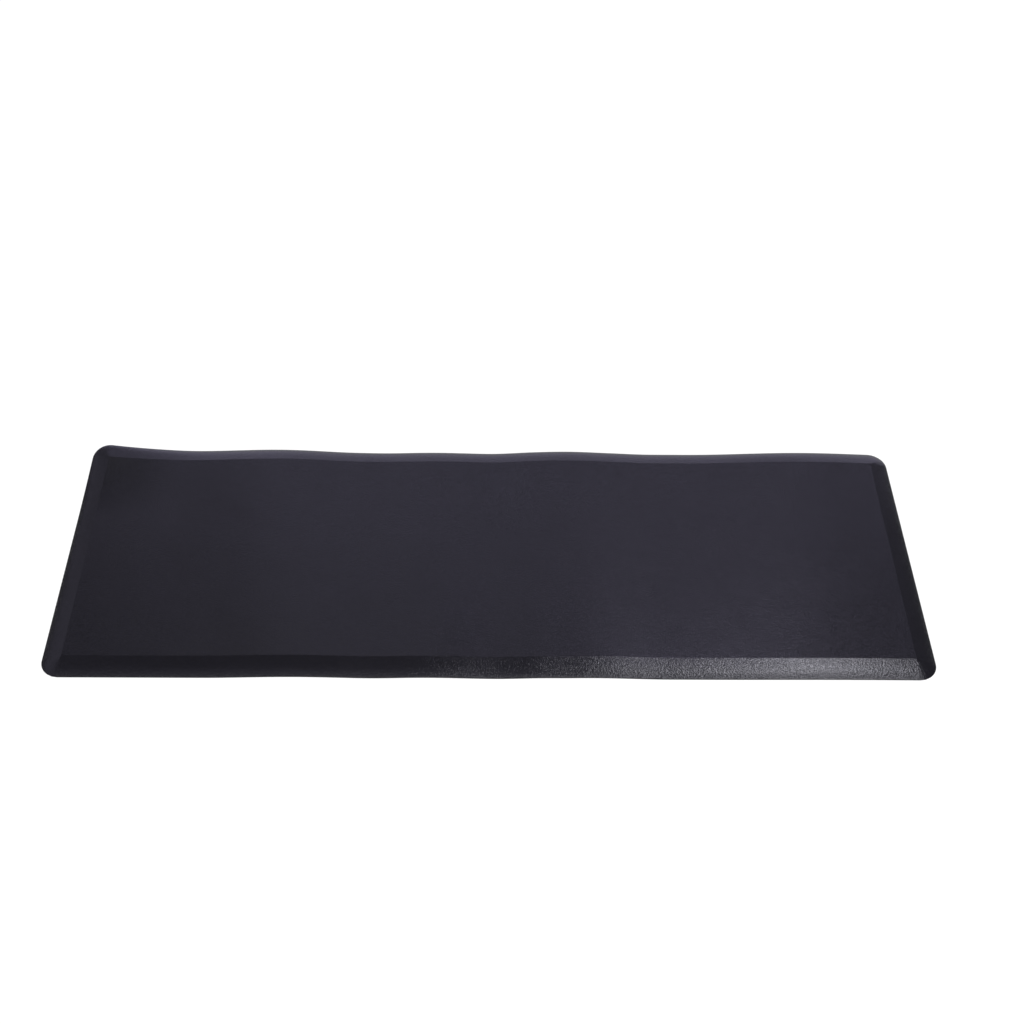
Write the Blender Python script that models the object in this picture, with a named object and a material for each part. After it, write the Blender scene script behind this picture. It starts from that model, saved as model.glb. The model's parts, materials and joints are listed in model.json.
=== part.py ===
"""Anti fatigue standing mat: four sheets bonded into one soft slab with a bevelled border.

The mat lies on its underside with its long side along X and its front towards -Y. The origin is the
middle of its footprint, on the floor. From the floor up it is an anti-slip base sheet, a firm foam core,
a soft foam layer, and a grained skin that runs over the top and down the border to a hem on the base sheet.
The sheets keep a small glue gap between them and follow the same shallow waves, left from rolled storage.
"""

import math

import bmesh
import bpy

# Overall size, in metres
LENGTH = 1.778
WIDTH = 0.610
THICKNESS = 0.018
CORNER_RADIUS = 0.038

# Bevelled border: it rises from a low rounded foot, steeper at first, to a crisp crease at the top
BORDER_WIDTH = 0.041
FOOT_HEIGHT = 0.0032
STRAIGHT_SHARE = 0.75
STEEPENING = 4
NOSE_RING = 0.0012
BORDER_RINGS = (0.005, 0.011, 0.019, 0.029)
LEVEL_RINGS = (0.005, 0.019)

# Sheets
BASE_SHEET = 0.0015
COVER_SKIN = 0.0012
GLUE_GAP = 0.0003
SLOPE_RISE = 0.0001
HEM_WIDTH = 0.005
HEM_ROUNDING = 0.0008
BASE_ROUNDING = 0.0006
BASE_SETBACK = 0.0004
FOAM_SPLIT_INSET = 0.018
SOFT_FOAM_RINGS = (0.029, 0.019)
FIRM_FOAM_RING = 0.011

# Waves across the mat: centre along X, half width, lift at the back edge, lift at the front edge
WAVES = (
    (-0.496, 0.205, 0.0092, 0.0),
    (-0.387, 0.188, 0.0028, 0.0043),
    (-0.122, 0.138, 0.0029, 0.0032),
    (0.092, 0.080, 0.0, 0.0020),
    (0.203, 0.158, 0.0, 0.0042),
    (0.132, 0.139, 0.0071, 0.0),
    (0.235, 0.132, 0.0051, 0.0),
    (0.699, 0.261, 0.0081, 0.0013),
)

# Curl of the back left corner: lift at the corner, how far it reaches along X and along Y, and how far it
# draws the corner in along each, as a share of its lift
CURL_LIFT = 0.0327
CURL_LENGTH = 0.48
CURL_DEPTH = 0.205
CURL_DRAW_X = 0.30
CURL_DRAW_Y = 0.10

# Mesh: cells of the flat middle, and steps round each rounded corner
COLUMNS = 32
ROWS = 7
CORNER_STEPS = 5

SMOOTH_ANGLE = math.radians(25)


def waves(x, y):
    """Height of the waves of the mat's underside over the floor at a point of the footprint."""
    towards_back = y / WIDTH + 0.5
    height = 0.0
    for centre, half_width, back, front in WAVES:
        if abs(x - centre) < half_width:
            bell = 0.5 + 0.5 * math.cos(math.pi * (x - centre) / half_width)
            height += bell * (front + (back - front) * towards_back)
    return height


def curl(x, y):
    """Height that the curled corner adds at a point of the footprint."""
    from_left = min((x + LENGTH / 2) / CURL_LENGTH, 1.0)
    from_back = min((WIDTH / 2 - y) / CURL_DEPTH, 1.0)
    return CURL_LIFT * (1 - from_left) ** 3 * (1 - from_back) ** 2


def border_height(inset):
    """Height of the border's outer face at an inset from the mat's outline."""
    across = inset / BORDER_WIDTH
    steeper = 1 - (1 - across) ** STEEPENING
    share = STRAIGHT_SHARE * across + (1 - STRAIGHT_SHARE) * steeper
    return FOOT_HEIGHT + (THICKNESS - FOOT_HEIGHT) * share


def under_skin(inset):
    """Height of the skin's inner face in the border, a little over its thickness down where it slopes."""
    return border_height(inset) - COVER_SKIN - SLOPE_RISE


def foam_side(inset):
    """Height of the foam's sloping side, a glue gap under the skin."""
    return under_skin(inset) - GLUE_GAP - SLOPE_RISE


def stops():
    """Stops anticlockwise round the flat middle: a corner of its grid, and the way from there to the mat's
    outline as a share of the border's width. A rounded corner's stops fan out from one grid corner."""
    sides = (
        [(column, 0) for column in range(COLUMNS + 1)],
        [(COLUMNS, row) for row in range(ROWS + 1)],
        [(column, ROWS) for column in reversed(range(COLUMNS + 1))],
        [(0, row) for row in reversed(range(ROWS + 1))],
    )
    to_arc_centre = BORDER_WIDTH - CORNER_RADIUS
    for quarter, side in enumerate(sides):
        facing = math.radians(90 * quarter - 90)
        out_x, out_y = math.cos(facing), math.sin(facing)
        for grid_corner in side:
            yield grid_corner, (out_x, out_y)
        for step in range(CORNER_STEPS + 1):
            turn = math.radians(90) * step / CORNER_STEPS
            outward = (to_arc_centre + CORNER_RADIUS * math.cos(turn)) / BORDER_WIDTH
            onward = (to_arc_centre + CORNER_RADIUS * math.sin(turn)) / BORDER_WIDTH
            yield side[-1], (out_x * outward - out_y * onward, out_y * outward + out_x * onward)


def grid_place(column, row):
    """Place of a corner of the flat middle's grid, which ends at the crease."""
    x = (column / COLUMNS - 0.5) * (LENGTH - 2 * BORDER_WIDTH)
    y = (row / ROWS - 0.5) * (WIDTH - 2 * BORDER_WIDTH)
    return x, y


def raised_vertex(mesh, x, y, height):
    """Vertex over a point of the footprint, raised by the waves and lifted and drawn in by the curl."""
    curled = curl(x, y)
    lifted = height + waves(x, y) + curled
    return mesh.verts.new((x + CURL_DRAW_X * curled, y - CURL_DRAW_Y * curled, lifted))


def middle_vertices(mesh, height):
    """Vertices of the flat middle at one height, by column and row."""
    return {
        (column, row): raised_vertex(mesh, *grid_place(column, row), height)
        for column in range(COLUMNS + 1)
        for row in range(ROWS + 1)
    }


def ring_vertices(mesh, inset, height):
    """Vertices once round the mat at an inset from its outline."""
    reach = BORDER_WIDTH - inset
    ring = []
    for grid_corner, (way_x, way_y) in stops():
        x, y = grid_place(*grid_corner)
        ring.append(raised_vertex(mesh, x + reach * way_x, y + reach * way_y, height))
    return ring


def join_rings(mesh, ring, next_ring, outward):
    """Faces between two rings. Each starts at the same corner whichever way the rings go, so that parallel
    sheets split into the same triangles. Repeated corners give triangles at once."""
    for index in range(len(ring)):
        after = (index + 1) % len(ring)
        around = [ring[index], next_ring[index], next_ring[after], ring[after]]
        if not outward:
            around = around[1:] + around[:1]
        corners = list(dict.fromkeys(around))
        if len(corners) > 2:
            mesh.faces.new(corners)


def fill_middle(mesh, vertices, upwards):
    """Faces of the flat middle, each from its front left corner."""
    for column in range(COLUMNS):
        for row in range(ROWS):
            front_left = vertices[column, row]
            front_right = vertices[column + 1, row]
            back_right = vertices[column + 1, row + 1]
            back_left = vertices[column, row + 1]
            if upwards:
                mesh.faces.new((front_left, front_right, back_right, back_left))
            else:
                mesh.faces.new((front_left, back_left, back_right, front_right))


def sheet(name, material, top, outline, bottom):
    """One closed sheet. The outline lists (inset, height) from the top face's edge, round the rim, to the
    bottom face's edge. The top and bottom heights are those of the flat middle, which ends at the crease."""
    mesh = bmesh.new()
    top_vertices = middle_vertices(mesh, top)
    bottom_vertices = middle_vertices(mesh, bottom)
    insets = [BORDER_WIDTH] + [inset for inset, height in outline] + [BORDER_WIDTH]
    rings = [[top_vertices[grid_corner] for grid_corner, way in stops()]]
    rings += [ring_vertices(mesh, inset, height) for inset, height in outline]
    rings += [[bottom_vertices[grid_corner] for grid_corner, way in stops()]]
    for index in range(len(rings) - 1):
        join_rings(mesh, rings[index], rings[index + 1], outward=insets[index + 1] < insets[index])
    fill_middle(mesh, top_vertices, upwards=True)
    fill_middle(mesh, bottom_vertices, upwards=False)
    bmesh.ops.triangulate(mesh, faces=mesh.faces[:], quad_method="FIXED")
    data = bpy.data.meshes.new(name)
    mesh.to_mesh(data)
    mesh.free()
    data.shade_smooth()
    data.set_sharp_from_angle(angle=SMOOTH_ANGLE)
    data.materials.append(material)
    piece = bpy.data.objects.new(name, data)
    bpy.context.scene.collection.objects.link(piece)


def surface(name, colour, roughness):
    """A non-metal material of one colour and roughness."""
    material = bpy.data.materials.new(name)
    material.use_nodes = True
    shader = material.node_tree.nodes["Principled BSDF"]
    shader.inputs["Base Color"].default_value = (*colour, 1.0)
    shader.inputs["Roughness"].default_value = roughness
    shader.inputs["Metallic"].default_value = 0.0
    return material


def level_face(height, rim_inset):
    """The rings inside the rim of a level face. All sheets share them, so that their waves run parallel."""
    return [(inset, height) for inset in LEVEL_RINGS if inset > rim_inset]


def base_sheet():
    """Anti-slip sheet that lies on the floor and reaches the whole outline."""
    rim = [
        (BASE_SETBACK, BASE_SHEET),
        (BASE_SETBACK, BASE_ROUNDING),
        (BASE_SETBACK + BASE_ROUNDING, 0.0),
    ]
    outline = level_face(BASE_SHEET, BASE_SETBACK)[::-1] + rim + level_face(0.0, BASE_SETBACK)
    black_rubber = surface("base_rubber", (0.018, 0.018, 0.020), 0.75)
    sheet("base_sheet", black_rubber, BASE_SHEET, outline, 0.0)


def support_foam(split_height):
    """Firm foam core on the base sheet, up to the height where the soft foam begins."""
    floor = BASE_SHEET + GLUE_GAP
    rim_inset = HEM_WIDTH + GLUE_GAP
    outline = [
        (FOAM_SPLIT_INSET, split_height),
        (FIRM_FOAM_RING, foam_side(FIRM_FOAM_RING)),
        (rim_inset, foam_side(rim_inset)),
        (rim_inset, floor),
    ]
    outline += level_face(floor, rim_inset)
    dark_foam = surface("firm_foam", (0.045, 0.045, 0.050), 0.90)
    sheet("support_foam", dark_foam, split_height, outline, floor)


def comfort_foam(split_height):
    """Soft foam layer between the firm core and the skin."""
    top = THICKNESS - COVER_SKIN - GLUE_GAP
    bottom = split_height + GLUE_GAP
    middle, edge = SOFT_FOAM_RINGS
    outline = [(middle, foam_side(middle)), (edge, bottom)]
    grey_foam = surface("soft_foam", (0.115, 0.115, 0.122), 0.90)
    sheet("comfort_foam", grey_foam, top, outline, bottom)


def top_cover():
    """Grained skin: flat top, bevelled border, rounded foot, and a hem welded down on the base sheet."""
    hem_floor = BASE_SHEET + GLUE_GAP
    outer = [(inset, border_height(inset)) for inset in (*reversed(BORDER_RINGS), NOSE_RING)]
    foot = [(0.0, hem_floor + HEM_ROUNDING), (HEM_ROUNDING, hem_floor), (HEM_WIDTH, hem_floor)]
    inner = [(inset, under_skin(inset)) for inset in BORDER_RINGS]
    black_skin = surface("cover_skin", (0.022, 0.021, 0.026), 0.45)
    sheet("top_cover", black_skin, THICKNESS, outer + foot + inner, THICKNESS - COVER_SKIN)


def main():
    for old in list(bpy.data.objects):
        bpy.data.objects.remove(old, do_unlink=True)
    split_height = foam_side(FOAM_SPLIT_INSET)
    base_sheet()
    support_foam(split_height)
    comfort_foam(split_height)
    top_cover()


main()
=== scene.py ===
"""Looks of the anti fatigue standing mat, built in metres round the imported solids, with its front towards -Y.

A grained polyurethane skin covers a soft foam layer and a firm foam core, and is welded to an anti-slip
sheet with shallow grip pockets underneath. All four follow the same waves, and the same curl of the back left
corner, as the solids they replace.
"""

import json
import math

import bmesh
import bpy
from mathutils import Matrix, Vector, noise


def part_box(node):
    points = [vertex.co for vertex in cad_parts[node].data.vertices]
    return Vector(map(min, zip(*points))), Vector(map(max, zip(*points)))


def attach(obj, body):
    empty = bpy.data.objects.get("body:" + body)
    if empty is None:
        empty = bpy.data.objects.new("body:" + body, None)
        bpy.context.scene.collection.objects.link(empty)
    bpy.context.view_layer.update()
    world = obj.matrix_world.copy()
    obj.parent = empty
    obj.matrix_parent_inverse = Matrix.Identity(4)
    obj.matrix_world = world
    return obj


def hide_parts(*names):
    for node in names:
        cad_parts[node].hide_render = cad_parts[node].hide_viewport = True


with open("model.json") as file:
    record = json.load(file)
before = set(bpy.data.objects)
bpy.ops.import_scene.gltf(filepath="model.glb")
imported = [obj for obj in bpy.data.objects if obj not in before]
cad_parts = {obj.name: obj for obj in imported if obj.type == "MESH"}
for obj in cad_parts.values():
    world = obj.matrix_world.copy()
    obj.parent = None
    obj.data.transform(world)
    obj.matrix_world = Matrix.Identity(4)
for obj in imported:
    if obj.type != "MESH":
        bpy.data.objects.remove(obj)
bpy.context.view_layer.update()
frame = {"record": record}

# Overall size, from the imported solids
cover_low, cover_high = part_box("top_cover")
mounts = {mount["name"]: mount["pos_m"] for mount in frame["record"]["mounts"]}
LENGTH = cover_high.x - cover_low.x
WIDTH = cover_high.y - cover_low.y
THICKNESS = mounts["standing_face"][2]
CORNER_RADIUS = 0.038

# Bevelled border: a low rounded nose, a slope that is steeper at first, and a crisp crease. The insets are
# those of the rings close to the foot, where the slope bends most.
BORDER_WIDTH = 0.041
FOOT_HEIGHT = 0.0032
STRAIGHT_SHARE = 0.75
STEEPENING = 4
CREASE_ROUNDING = 0.0002
CREASE_REACH = 0.0012
NOSE_RADIUS = 0.0010
HEM_RADIUS = 0.0008
SLOPE_END = 0.005
FOOT_INSETS = (0.0037, 0.0025, 0.0016)

# Sheets. The foams meet at the split inset. The soft one's side stays a gap away from there and from the
# top's edge, and the level insets are those of rings that keep its underside and the firm one's faces flat.
BASE_SHEET = 0.0015
COVER_SKIN = 0.0012
GLUE_GAP = 0.0003
SLOPE_RISE = 0.0001
HEM_WIDTH = 0.005
BASE_ROUNDING = 0.0006
BASE_SETBACK = 0.0004
INNER_CREASE_GAP = 0.0005
FOAM_SPLIT_INSET = 0.018
FOAM_EDGE_GAP = 0.001
FOAM_TOP_GAP = 0.002
FOAM_LEVEL_INSET = 0.029
FOAM_FLOOR_INSET = 0.019

# Waves across the mat: centre along X, half width, lift at the back edge, lift at the front edge
WAVES = (
    (-0.496, 0.205, 0.0092, 0.0),
    (-0.387, 0.188, 0.0028, 0.0043),
    (-0.122, 0.138, 0.0029, 0.0032),
    (0.092, 0.080, 0.0, 0.0020),
    (0.203, 0.158, 0.0, 0.0042),
    (0.132, 0.139, 0.0071, 0.0),
    (0.235, 0.132, 0.0051, 0.0),
    (0.699, 0.261, 0.0081, 0.0013),
)

# Curl of the back left corner: lift at the corner, how far it reaches along X and along Y, and how far it
# draws the corner in along each, as a share of its lift
CURL_LIFT = 0.0327
CURL_LENGTH = 0.48
CURL_DEPTH = 0.205
CURL_DRAW_X = 0.30
CURL_DRAW_Y = 0.10

# Unevenness of the foam under the skin: wave number per metre and height of each octave
UNEVENNESS = ((9.0, 0.00022), (21.0, 0.00007))
UNEVEN_FROM = 0.010
UNEVEN_FULL = 0.040

# Cell sizes of the meshes
SKIN_CELL = 0.006
FOAM_CELL = 0.013
GRIP_CELL = 0.0152
SKIN_CORNER_STEPS = 14
FOAM_CORNER_STEPS = 8
GRIP_CORNER_STEPS = 5

# Grip pockets under the mat. A face takes one if its normal points down at least this far and it is more than
# this share of a cell.
GRIP_MARGIN = 0.016
GRIP_GRID_INSET = 0.044
BASE_LEVEL_INSETS = (0.003, GRIP_MARGIN, 0.030)
GRIP_RIB = 0.0017
GRIP_SLOPE = 0.0005
GRIP_DEPTH = 0.0006
FACING_DOWN = -0.9
FULL_CELL = 0.6

SMOOTH_ANGLE = math.radians(25)

# Leather grain of the skin. A dome, and the painted shade in a crease, reach this far from a pebble's edge, in
# pebble sizes, and that painted shade takes this share of its dark colour. The lumps are deepest at the foot.
PEBBLES_PER_METRE = 380.0
PEBBLE_DEPTH = 0.00010
DOME_REACH = 0.35
CREASE_PAINTED_SHADE_WIDTH = 0.06
CREASE_PAINTED_SHADE_SHARE = 0.25
LUMPS_PER_METRE = 260.0
LUMP_DEPTH = 0.00052
TOP_LUMP_DEPTH = 0.00020
LUMPS_FADE_FROM = 0.010
PORES_PER_METRE = 2600.0
PORE_DEPTH = 0.00001
GRAIN_WANDER_SCALE = 190.0
GRAIN_WANDER = 0.0018
SKIN_COLOURS = ((0.0140, 0.0134, 0.0170), (0.0156, 0.0150, 0.0190))
# Dark colour of the painted shade in the grain's creases
CREASE_PAINTED_SHADE_COLOUR = (0.010, 0.0095, 0.012)
SKIN_ROUGHNESS = (0.18, 0.22)
SKIN_PATCHES_PER_METRE = 5.0
HANDLING_PER_METRE = 11.0

# Foam and rubber
FOAM_PATCHES_PER_METRE = 40.0
FOAM_CELL_DEPTH = 0.0004
FOAM_CELL_RANGE = (0.2, 0.8)
# Painted shade in the foam's cells: its greatest share, and its darkness against the foam's darker colour
FOAM_CELL_SHADE_SHARE = 0.7
FOAM_CELL_SHADE_TONE = 0.5
RUBBER_COLOURS = ((0.014, 0.014, 0.016), (0.022, 0.022, 0.024))
RUBBER_ROUGHNESS = (0.68, 0.80)
RUBBER_PATCHES_PER_METRE = 18.0
RUBBER_TEXTURE_PER_METRE = 1400.0
RUBBER_TEXTURE_DEPTH = 0.0001

# Part of a noise's values that a mapping uses, since few of them lie outside it
NOISE_RANGE = (0.3, 0.7)

# Softboxes: place, what it faces, width, height, glow, colour
KEY_COLOUR = (1.01, 1.0, 1.10)
FILL_COLOUR = (1.06, 1.0, 1.35)
BACK_COLOUR = (1.06, 1.0, 1.45)
SOFTBOXES = {
    "key": ((1.2, -0.35, 2.6), (1.2, -0.35, 0.0), 0.4, 0.7, 17.6, KEY_COLOUR),
    "key_front": ((1.2, -1.05, 2.6), (1.2, -1.05, 0.0), 0.4, 0.7, 8.5, KEY_COLOUR),
    "overhead_right": ((0.9, 0.7, 2.6), (0.9, 0.7, 0.0), 0.4, 1.4, 3.1, FILL_COLOUR),
    "overhead_back": ((-0.75, 1.25, 2.6), (-0.75, 1.25, 0.0), 1.3, 0.6, 0.42, KEY_COLOUR),
    "overhead_front": ((-0.7, -1.05, 2.6), (-0.7, -1.05, 0.0), 2.2, 0.7, 0.30, FILL_COLOUR),
    "front_right": ((2.0, -3.2, 4.0), (2.0, 0.0, 4.0), 2.0, 1.6, 8.7, KEY_COLOUR),
    "front_left": ((-1.0, -3.2, 4.0), (-1.0, 0.0, 4.0), 4.0, 1.6, 1.5, KEY_COLOUR),
    "back_low": ((0.0, 3.2, 0.52), (0.0, 0.0, 0.52), 7.2, 1.04, 0.77, BACK_COLOUR),
    "back_right": ((0.9, 3.2, 3.0), (0.9, 0.0, 3.0), 5.4, 1.2, 0.67, BACK_COLOUR),
    "back_corner": ((-1.15, 3.2, 1.65), (-1.15, 0.0, 1.65), 0.8, 1.2, 0.38, BACK_COLOUR),
    "back_left": ((-2.7, 3.2, 3.0), (-2.7, 0.0, 3.0), 1.8, 1.2, 0.42, FILL_COLOUR),
    "back_high": ((0.0, 3.2, 4.2), (0.0, 0.0, 4.2), 3.6, 1.2, 0.32, BACK_COLOUR),
    "left": ((-3.2, 0.0, 3.0), (0.0, 0.0, 3.0), 4.8, 3.6, 0.345, FILL_COLOUR),
}
ROOM_GLOW = 0.07
FLOOR_GLOW = 0.55
FLOOR_SIZE = 60.0
FLOOR_DROP = 0.0005

# Camera
CAMERA_PLACE = (-0.0140, -1.8810, 2.3017)
CAMERA_PAN = math.radians(-0.544)
CAMERA_TILT = math.radians(41.195)
CAMERA_ROLL = math.radians(0.667)
CAMERA_LENS = 49.381
CAMERA_SHIFT = 0.0195


# ---------------------------------------------------------------- shape of the mat

def waves(x, y):
    """Height of the waves of the mat's underside over the floor at a point of the footprint."""
    towards_back = y / WIDTH + 0.5
    height = 0.0
    for centre, half_width, back, front in WAVES:
        if abs(x - centre) < half_width:
            bell = 0.5 + 0.5 * math.cos(math.pi * (x - centre) / half_width)
            height += bell * (front + (back - front) * towards_back)
    return height


def curl(x, y):
    """Height that the curled corner adds at a point of the footprint."""
    from_left = min((x + LENGTH / 2) / CURL_LENGTH, 1.0)
    from_back = min((WIDTH / 2 - y) / CURL_DEPTH, 1.0)
    return CURL_LIFT * (1 - from_left) ** 3 * (1 - from_back) ** 2


def inset_of(x, y):
    """Distance of a point of the footprint from the mat's outline."""
    from_end = LENGTH / 2 - CORNER_RADIUS - abs(x)
    from_side = WIDTH / 2 - CORNER_RADIUS - abs(y)
    if from_end < 0 and from_side < 0:
        return CORNER_RADIUS - math.hypot(from_end, from_side)
    return CORNER_RADIUS + min(from_end, from_side)


def unevenness(x, y):
    """Height of the slight bumps of the foam under the skin, which fade out towards the welded rim."""
    inside = (inset_of(x, y) - UNEVEN_FROM) / (UNEVEN_FULL - UNEVEN_FROM)
    bumps = 0.0
    for layer, (waves_per_metre, height) in enumerate(UNEVENNESS):
        bumps += height * noise.noise(Vector((x * waves_per_metre, y * waves_per_metre, layer)))
    return min(max(inside, 0.0), 1.0) * bumps


def border_height(inset):
    """Height of the border's outer face at an inset from the mat's outline."""
    across = inset / BORDER_WIDTH
    steeper = 1 - (1 - min(across, 1.0)) ** STEEPENING
    share = STRAIGHT_SHARE * across + (1 - STRAIGHT_SHARE) * steeper
    return FOOT_HEIGHT + (THICKNESS - FOOT_HEIGHT) * share


def creased_height(inset):
    """Height of the outer face with the crease between border and top slightly rounded."""
    slope = border_height(inset)
    near = max(CREASE_ROUNDING - abs(slope - THICKNESS), 0.0)
    return min(slope, THICKNESS) - near * near / (4 * CREASE_ROUNDING)


def under_skin(inset):
    """Height of the skin's inner face in the border."""
    return border_height(inset) - COVER_SKIN - SLOPE_RISE


def foam_side(inset):
    """Height of the foam's sloping side, a glue gap under the skin."""
    return under_skin(inset) - GLUE_GAP - SLOPE_RISE


# ---------------------------------------------------------------- closed sheets

class Template:
    """Grid over the flat middle up to an inset from the outline, and stops round its edge. A sheet that lies
    on the foam is slightly uneven."""

    def __init__(self, edge_inset, cell, corner_steps, uneven=False):
        self.edge_inset = edge_inset
        self.length = LENGTH - 2 * edge_inset
        self.width = WIDTH - 2 * edge_inset
        self.columns = round(self.length / cell)
        self.rows = round(self.width / cell)
        self.stops = list(self.stops_round(corner_steps))
        self.uneven = uneven

    def stops_round(self, corner_steps):
        """Stops anticlockwise: a corner of the grid, and the way from there to the mat's outline as a share
        of the edge's inset. A rounded corner's stops fan out from one grid corner."""
        sides = (
            [(column, 0) for column in range(self.columns + 1)],
            [(self.columns, row) for row in range(self.rows + 1)],
            [(column, self.rows) for column in reversed(range(self.columns + 1))],
            [(0, row) for row in reversed(range(self.rows + 1))],
        )
        to_arc_centre = self.edge_inset - CORNER_RADIUS
        for quarter, side in enumerate(sides):
            facing = math.radians(90 * quarter - 90)
            out_x, out_y = math.cos(facing), math.sin(facing)
            for grid_corner in side:
                yield grid_corner, (out_x, out_y)
            for step in range(corner_steps + 1):
                turn = math.radians(90) * step / corner_steps
                outward = (to_arc_centre + CORNER_RADIUS * math.cos(turn)) / self.edge_inset
                onward = (to_arc_centre + CORNER_RADIUS * math.sin(turn)) / self.edge_inset
                yield side[-1], (out_x * outward - out_y * onward, out_y * outward + out_x * onward)

    def place(self, column, row):
        x = (column / self.columns - 0.5) * self.length
        y = (row / self.rows - 0.5) * self.width
        return x, y

    def vertex(self, mesh, x, y, height):
        """Vertex over a point of the footprint, raised by the waves and lifted and drawn in by the curl."""
        curled = curl(x, y)
        lifted = height + waves(x, y) + curled
        if self.uneven:
            lifted += unevenness(x, y)
        return mesh.verts.new((x + CURL_DRAW_X * curled, y - CURL_DRAW_Y * curled, lifted))

    def middle(self, mesh, height):
        """Vertices of the flat middle at one height, by column and row."""
        return {
            (column, row): self.vertex(mesh, *self.place(column, row), height)
            for column in range(self.columns + 1)
            for row in range(self.rows + 1)
        }

    def ring(self, mesh, inset, height):
        """Vertices once round the mat at an inset from its outline."""
        reach = self.edge_inset - inset
        ring = []
        for grid_corner, (way_x, way_y) in self.stops:
            x, y = self.place(*grid_corner)
            ring.append(self.vertex(mesh, x + reach * way_x, y + reach * way_y, height))
        return ring


def join_rings(mesh, ring, next_ring):
    """Faces between two rings. Stops that share a grid corner give triangles."""
    for index in range(len(ring)):
        after = (index + 1) % len(ring)
        around = [ring[index], next_ring[index], next_ring[after], ring[after]]
        corners = list(dict.fromkeys(around))
        if len(corners) > 2:
            mesh.faces.new(corners)


def fill_middle(mesh, template, vertices, upwards):
    for column in range(template.columns):
        for row in range(template.rows):
            around = [
                vertices[column, row],
                vertices[column + 1, row],
                vertices[column + 1, row + 1],
                vertices[column, row + 1],
            ]
            mesh.faces.new(around if upwards else around[::-1])


def sheet_mesh(template, top, outline, bottom):
    """One closed sheet. The outline lists (inset, height) from the top face's edge, round the rim, to the
    bottom face's edge. The top and bottom heights are those of the flat middle."""
    mesh = bmesh.new()
    top_vertices = template.middle(mesh, top)
    bottom_vertices = template.middle(mesh, bottom)
    rings = [[top_vertices[grid_corner] for grid_corner, way in template.stops]]
    rings += [template.ring(mesh, inset, height) for inset, height in outline]
    rings += [[bottom_vertices[grid_corner] for grid_corner, way in template.stops]]
    for ring, next_ring in zip(rings, rings[1:]):
        join_rings(mesh, ring, next_ring)
    fill_middle(mesh, template, top_vertices, upwards=True)
    fill_middle(mesh, template, bottom_vertices, upwards=False)
    return mesh


def finished_piece(name, mesh, material, node):
    """The mesh as a smooth-shaded piece on the mat's only body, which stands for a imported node."""
    data = bpy.data.meshes.new(name)
    mesh.to_mesh(data)
    mesh.free()
    data.shade_smooth()
    data.set_sharp_from_angle(angle=SMOOTH_ANGLE)
    data.materials.append(material)
    piece = bpy.data.objects.new(name, data)
    bpy.context.scene.collection.objects.link(piece)
    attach(piece, "root")
    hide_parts(node)
    return piece


def between(start, end, steps):
    """Evenly spaced values from start to end, both included."""
    return [start + (end - start) * step / steps for step in range(steps + 1)]


# ---------------------------------------------------------------- pieces

def nose_outline():
    """The rounded nose from the foot of the slope, over the rim, to the hem on the base sheet."""
    hem_floor = BASE_SHEET + GLUE_GAP
    foot_slope = (border_height(NOSE_RADIUS) - FOOT_HEIGHT) / NOSE_RADIUS
    start = math.pi / 2 - math.atan(foot_slope)
    start_inset = NOSE_RADIUS * (1 - math.cos(start))
    centre = border_height(start_inset) - NOSE_RADIUS * math.sin(start)
    outline = []
    for angle in between(start, 0.0, 5):
        inset = NOSE_RADIUS * (1 - math.cos(angle))
        outline.append((inset, centre + NOSE_RADIUS * math.sin(angle)))
    for angle in between(0.0, math.pi / 2, 4):
        inset = HEM_RADIUS * (1 - math.cos(angle))
        outline.append((inset, hem_floor + HEM_RADIUS * (1 - math.sin(angle))))
    outline.append((HEM_WIDTH, hem_floor))
    return outline


def top_cover():
    """Grained skin: level top, crease, sloping border, rounded nose, hem, and the hollow inner side."""
    edge = BORDER_WIDTH + CREASE_REACH
    below_crease = BORDER_WIDTH - CREASE_REACH
    around_crease = between(edge, below_crease, 8)[1:]
    down_slope = between(below_crease, SLOPE_END, 10)[1:] + list(FOOT_INSETS)
    outer = [(inset, creased_height(inset)) for inset in around_crease + down_slope]
    under_slope = between(HEM_WIDTH, BORDER_WIDTH - INNER_CREASE_GAP, 6)
    inner = [(inset, under_skin(inset)) for inset in under_slope]
    template = Template(edge, SKIN_CELL, SKIN_CORNER_STEPS, uneven=True)
    mesh = sheet_mesh(template, THICKNESS, outer + nose_outline() + inner, THICKNESS - COVER_SKIN)
    piece = finished_piece("grained_top_cover", mesh, grained_polyurethane(), "top_cover")


def comfort_foam(split_height):
    """Soft foam layer under the skin, skived to an edge where it meets the slope."""
    top = THICKNESS - COVER_SKIN - GLUE_GAP
    bottom = split_height + GLUE_GAP
    slope = between(BORDER_WIDTH - FOAM_TOP_GAP, FOAM_SPLIT_INSET + FOAM_EDGE_GAP, 5)
    outline = [(inset, foam_side(inset)) for inset in slope]
    outline += [(inset, bottom) for inset in (FOAM_SPLIT_INSET + 2 * FOAM_EDGE_GAP, FOAM_LEVEL_INSET)]
    template = Template(BORDER_WIDTH, FOAM_CELL, FOAM_CORNER_STEPS, uneven=True)
    mesh = sheet_mesh(template, top, outline, bottom)
    colours = ((0.095, 0.095, 0.102), (0.135, 0.135, 0.142))
    material = cut_foam("soft_open_foam", colours, cells_per_metre=900, roughness=0.95)
    piece = finished_piece("soft_comfort_foam", mesh, material, "comfort_foam")


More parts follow.
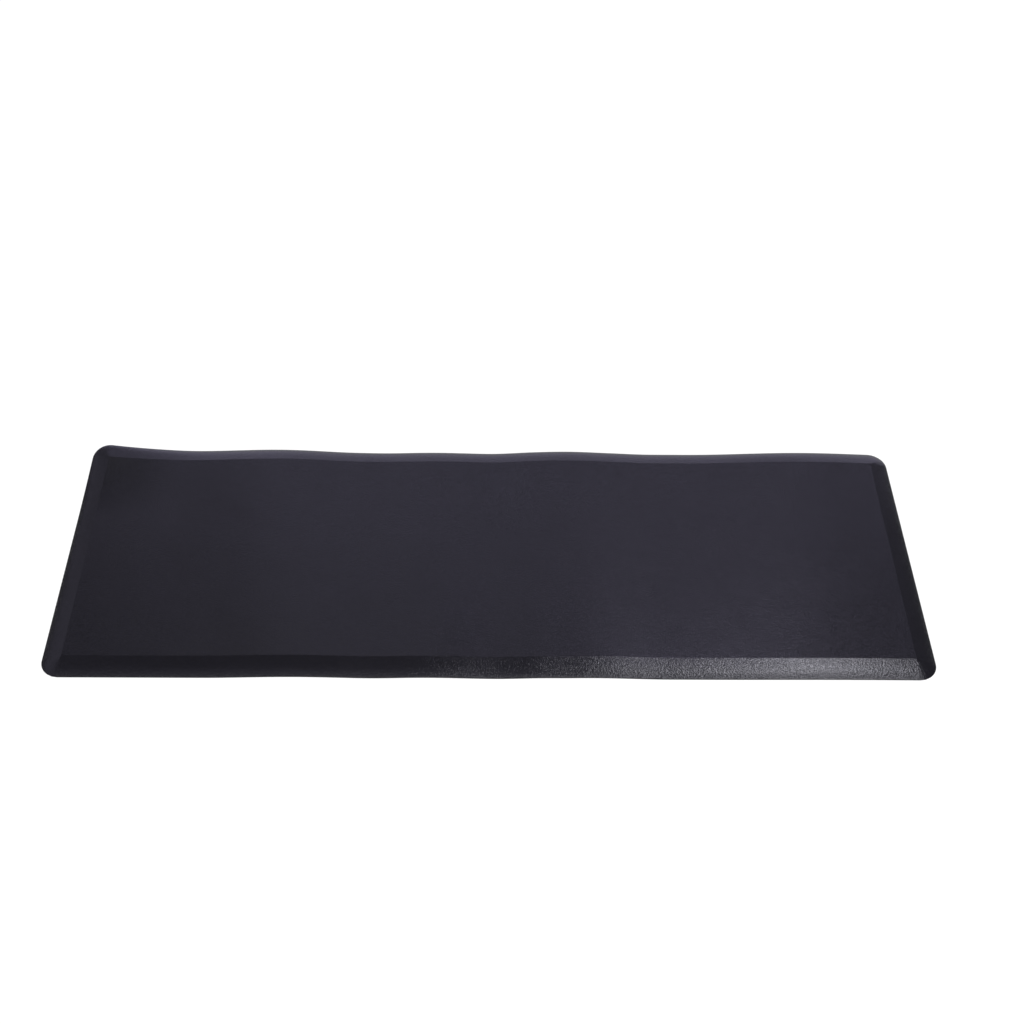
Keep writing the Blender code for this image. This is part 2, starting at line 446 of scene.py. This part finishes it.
def support_foam(split_height):
    """Firm foam core on the base sheet, up to the height where the soft foam begins."""
    floor = BASE_SHEET + GLUE_GAP
    rim_inset = HEM_WIDTH + GLUE_GAP
    side = [(inset, foam_side(inset)) for inset in between(FOAM_SPLIT_INSET, rim_inset, 4)]
    outline = [(FOAM_LEVEL_INSET, split_height)] + side
    outline += [(inset, floor) for inset in (rim_inset, FOAM_FLOOR_INSET)]
    template = Template(BORDER_WIDTH, FOAM_CELL, FOAM_CORNER_STEPS)
    mesh = sheet_mesh(template, split_height, outline, floor)
    colours = ((0.036, 0.036, 0.040), (0.054, 0.054, 0.060))
    material = cut_foam("firm_dense_foam", colours, cells_per_metre=1600, roughness=0.85)
    piece = finished_piece("firm_support_foam", mesh, material, "support_foam")


def base_sheet():
    """Anti-slip sheet to the whole outline, with a waffle of shallow pockets pressed in its underside."""
    rim = [(BASE_SETBACK, BASE_SHEET), (BASE_SETBACK, BASE_ROUNDING), (BASE_SETBACK + BASE_ROUNDING, 0.0)]
    outline = [(inset, BASE_SHEET) for inset in reversed(BASE_LEVEL_INSETS)] + rim
    outline += [(inset, 0.0) for inset in BASE_LEVEL_INSETS]
    template = Template(GRIP_GRID_INSET, GRIP_CELL, GRIP_CORNER_STEPS)
    mesh = sheet_mesh(template, BASE_SHEET, outline, 0.0)
    mesh.normal_update()
    pockets = [face for face in mesh.faces if takes_pocket(face)]
    bmesh.ops.inset_individual(mesh, faces=pockets, thickness=GRIP_RIB)
    bmesh.ops.inset_individual(mesh, faces=pockets, thickness=GRIP_SLOPE, depth=-GRIP_DEPTH)
    piece = finished_piece("anti_slip_base_sheet", mesh, base_rubber(), "base_sheet")


def takes_pocket(face):
    """Whether a face of the base sheet is a full cell of its underside."""
    centre = face.calc_center_median()
    inside = inset_of(centre.x, centre.y) > GRIP_MARGIN
    return face.normal.z < FACING_DOWN and inside and face.calc_area() > FULL_CELL * GRIP_CELL ** 2


# ---------------------------------------------------------------- materials

def feed(tree, socket, value):
    """Link a socket to another one, or set it to a value."""
    if isinstance(value, bpy.types.NodeSocket):
        tree.links.new(value, socket)
    else:
        socket.default_value = value


def add_node(tree, kind, settings=None, **inputs):
    """A shader node with its settings, and its inputs linked from sockets or set to values."""
    node = tree.nodes.new(kind)
    for setting, value in (settings or {}).items():
        setattr(node, setting, value)
    for name, value in inputs.items():
        socket = next(item for item in node.inputs if item.name.replace(" ", "_") == name and item.enabled)
        feed(tree, socket, value)
    return node


def output(node, name):
    return next(item for item in node.outputs if item.name == name and item.enabled)


def object_coordinates(tree):
    return output(add_node(tree, "ShaderNodeTexCoord"), "Object")


def noise_value(tree, place, scale, detail=2.0):
    node = add_node(tree, "ShaderNodeTexNoise", Vector=place, Scale=scale, Detail=detail)
    return output(node, "Fac")


def spread(tree, value, low, high, start=0.0, end=1.0, easing="LINEAR"):
    """The value mapped from start..end to low..high, and held there."""
    node = add_node(
        tree, "ShaderNodeMapRange", {"interpolation_type": easing},
        Value=value, From_Min=start, From_Max=end, To_Min=low, To_Max=high,
    )
    return output(node, "Result")


def combined(tree, operation, first, second):
    node = add_node(tree, "ShaderNodeMath", {"operation": operation})
    for socket, value in zip(node.inputs, (first, second)):
        feed(tree, socket, value)
    return node.outputs[0]


def blended(tree, share, first, second):
    """A colour between two colours, each a socket or a triple."""
    node = add_node(tree, "ShaderNodeMix", {"data_type": "RGBA"})
    sockets = [item for item in node.inputs if item.enabled]
    for socket, value in zip(sockets, (share, first, second)):
        feed(tree, socket, (*value, 1.0) if isinstance(value, tuple) else value)
    return output(node, "Result")


def patchy(tree, patches, colours):
    """A colour that drifts between two colours with a noise."""
    return blended(tree, spread(tree, patches, 0.0, 1.0, *NOISE_RANGE), *colours)


def bumped(tree, height, depth):
    node = add_node(tree, "ShaderNodeBump", Height=height, Distance=depth, Strength=1.0)
    return output(node, "Normal")


def blank_material(name):
    material = bpy.data.materials.new(name)
    material.use_nodes = True
    tree = material.node_tree
    return material, tree, tree.nodes["Principled BSDF"]


def lump_depth(tree, place):
    """Depth of the ground's lumps: full at the foot, fading over the border to the top's shallow ones."""
    axes = add_node(tree, "ShaderNodeSeparateXYZ", Vector=place)
    from_end = combined(tree, "SUBTRACT", LENGTH / 2, combined(tree, "ABSOLUTE", output(axes, "X"), 0.0))
    from_side = combined(tree, "SUBTRACT", WIDTH / 2, combined(tree, "ABSOLUTE", output(axes, "Y"), 0.0))
    inset = combined(tree, "MINIMUM", from_end, from_side)
    return spread(tree, inset, LUMP_DEPTH, TOP_LUMP_DEPTH, LUMPS_FADE_FROM, BORDER_WIDTH)


def grained_polyurethane():
    """Black skin embossed with a leather grain: domed pebbles between narrow creases, on a slightly lumpy
    ground, with fine pores."""
    material, tree, shader = blank_material("grained_black_polyurethane")
    place = object_coordinates(tree)
    wander = add_node(tree, "ShaderNodeTexNoise", Vector=place, Scale=GRAIN_WANDER_SCALE, Detail=1.0)
    offset = add_node(tree, "ShaderNodeVectorMath", {"operation": "MULTIPLY_ADD"})
    tree.links.new(output(wander, "Color"), offset.inputs[0])
    offset.inputs[1].default_value = (GRAIN_WANDER, GRAIN_WANDER, GRAIN_WANDER)
    tree.links.new(place, offset.inputs[2])
    pebbles = add_node(
        tree, "ShaderNodeTexVoronoi", {"feature": "DISTANCE_TO_EDGE"},
        Vector=output(offset, "Vector"), Scale=PEBBLES_PER_METRE,
    )
    from_edge = output(pebbles, "Distance")
    dome = spread(tree, from_edge, 0.0, 1.0, 0.0, DOME_REACH, "SMOOTHERSTEP")
    domes = combined(tree, "MULTIPLY", dome, PEBBLE_DEPTH)
    lump = noise_value(tree, place, LUMPS_PER_METRE, 1.0)
    lumps = combined(tree, "MULTIPLY", lump, lump_depth(tree, place))
    pores = combined(tree, "MULTIPLY", noise_value(tree, place, PORES_PER_METRE), PORE_DEPTH)
    relief = combined(tree, "ADD", combined(tree, "ADD", domes, lumps), pores)
    tree.links.new(bumped(tree, relief, 1.0), shader.inputs["Normal"])

    tone = patchy(tree, noise_value(tree, place, SKIN_PATCHES_PER_METRE, 3.0), SKIN_COLOURS)
    # Painted shade: the grain's creases are darkened towards a dark colour, where shade would fall
    crease_painted_shade = spread(tree, from_edge, CREASE_PAINTED_SHADE_SHARE, 0.0, 0.0, CREASE_PAINTED_SHADE_WIDTH)
    tree.links.new(blended(tree, crease_painted_shade, tone, CREASE_PAINTED_SHADE_COLOUR), shader.inputs["Base Color"])
    handling = noise_value(tree, place, HANDLING_PER_METRE, 4.0)
    tree.links.new(spread(tree, handling, *SKIN_ROUGHNESS, *NOISE_RANGE), shader.inputs["Roughness"])
    return material


def cut_foam(name, colours, cells_per_metre, roughness):
    """Cut foam: tiny open cells with painted shade in their hollows, and a slightly patchy colour."""
    material, tree, shader = blank_material(name)
    place = object_coordinates(tree)
    cells = add_node(tree, "ShaderNodeTexVoronoi", Vector=place, Scale=float(cells_per_metre))
    cell_depth = output(cells, "Distance")
    tone = patchy(tree, noise_value(tree, place, FOAM_PATCHES_PER_METRE, 3.0), colours)
    # Painted shade: the foam is darkened in its cells' hollows
    cell_painted_shade = spread(tree, cell_depth, 0.0, FOAM_CELL_SHADE_SHARE, *FOAM_CELL_RANGE)
    dark = tuple(FOAM_CELL_SHADE_TONE * channel for channel in colours[0])
    tree.links.new(blended(tree, cell_painted_shade, tone, dark), shader.inputs["Base Color"])
    tree.links.new(bumped(tree, cell_depth, -FOAM_CELL_DEPTH), shader.inputs["Normal"])
    shader.inputs["Roughness"].default_value = roughness
    return material


def base_rubber():
    """Matt black anti-slip sheet with a fine moulded texture."""
    material, tree, shader = blank_material("black_anti_slip_rubber")
    place = object_coordinates(tree)
    patches = noise_value(tree, place, RUBBER_PATCHES_PER_METRE, 4.0)
    tree.links.new(patchy(tree, patches, RUBBER_COLOURS), shader.inputs["Base Color"])
    texture = noise_value(tree, place, RUBBER_TEXTURE_PER_METRE, 3.0)
    tree.links.new(bumped(tree, texture, RUBBER_TEXTURE_DEPTH), shader.inputs["Normal"])
    tree.links.new(spread(tree, patches, *RUBBER_ROUGHNESS, *NOISE_RANGE), shader.inputs["Roughness"])
    return material


# ---------------------------------------------------------------- studio

def pale_floor():
    """Plain floor that glows white to the camera, so that it shows no shadows, and more weakly to the mat."""
    material, tree, shader = blank_material("pale_floor")
    shader.inputs["Base Color"].default_value = (0.1, 0.1, 0.1, 1.0)
    shader.inputs["Roughness"].default_value = 0.9
    shader.inputs["Specular IOR Level"].default_value = 0.0
    shader.inputs["Emission Color"].default_value = (1.0, 1.0, 1.0, 1.0)
    seen = output(add_node(tree, "ShaderNodeLightPath"), "Is Camera Ray")
    tree.links.new(spread(tree, seen, FLOOR_GLOW, 1.0), shader.inputs["Emission Strength"])
    bpy.ops.mesh.primitive_plane_add(size=FLOOR_SIZE, location=(0.0, 0.0, -FLOOR_DROP))
    floor = bpy.context.active_object
    floor.name = "floor"
    floor.data.materials.append(material)


def softbox(name, place, aim, width, height, glow, colour):
    """A rectangular softbox facing an aim point, which the camera doesn't see. Its glow is its radiance."""
    light = bpy.data.lights.new(name, "AREA")
    light.shape = "RECTANGLE"
    light.size = width
    light.size_y = height
    light.energy = math.pi * width * height * glow
    light.color = colour
    lamp = bpy.data.objects.new(name, light)
    bpy.context.scene.collection.objects.link(lamp)
    lamp.location = place
    lamp.rotation_euler = (Vector(aim) - Vector(place)).to_track_quat("-Z", "Y").to_euler()
    lamp.visible_camera = False


def studio():
    """Softboxes in a dim room whose backdrop is white to the camera."""
    world = bpy.data.worlds.new("studio")
    bpy.context.scene.world = world
    world.use_nodes = True
    tree = world.node_tree
    tree.nodes.clear()
    room = add_node(tree, "ShaderNodeBackground", Color=(1.0, 1.0, 1.0, 1.0), Strength=ROOM_GLOW)
    backdrop = add_node(tree, "ShaderNodeBackground", Color=(1.0, 1.0, 1.0, 1.0), Strength=1.0)
    path = add_node(tree, "ShaderNodeLightPath")
    mix = add_node(tree, "ShaderNodeMixShader", Fac=output(path, "Is Camera Ray"))
    tree.links.new(room.outputs[0], mix.inputs[1])
    tree.links.new(backdrop.outputs[0], mix.inputs[2])
    end = add_node(tree, "ShaderNodeOutputWorld")
    tree.links.new(mix.outputs[0], end.inputs["Surface"])
    for name, settings in SOFTBOXES.items():
        softbox(name, *settings)
    bpy.context.scene.view_settings.view_transform = "Standard"


def camera():
    """The camera, looking down on the mat from the front."""
    data = bpy.data.cameras.new("camera")
    data.lens = CAMERA_LENS
    data.shift_x = CAMERA_SHIFT
    view = bpy.data.objects.new("camera", data)
    bpy.context.scene.collection.objects.link(view)
    turn = Matrix.Rotation(CAMERA_PAN, 4, "Z") @ Matrix.Rotation(CAMERA_TILT, 4, "X")
    view.matrix_world = Matrix.Translation(CAMERA_PLACE) @ turn @ Matrix.Rotation(CAMERA_ROLL, 4, "Z")
    bpy.context.scene.camera = view


def main():
    camera()
    studio()
    pale_floor()
    split_height = foam_side(FOAM_SPLIT_INSET)
    top_cover()
    comfort_foam(split_height)
    support_foam(split_height)
    base_sheet()


main()
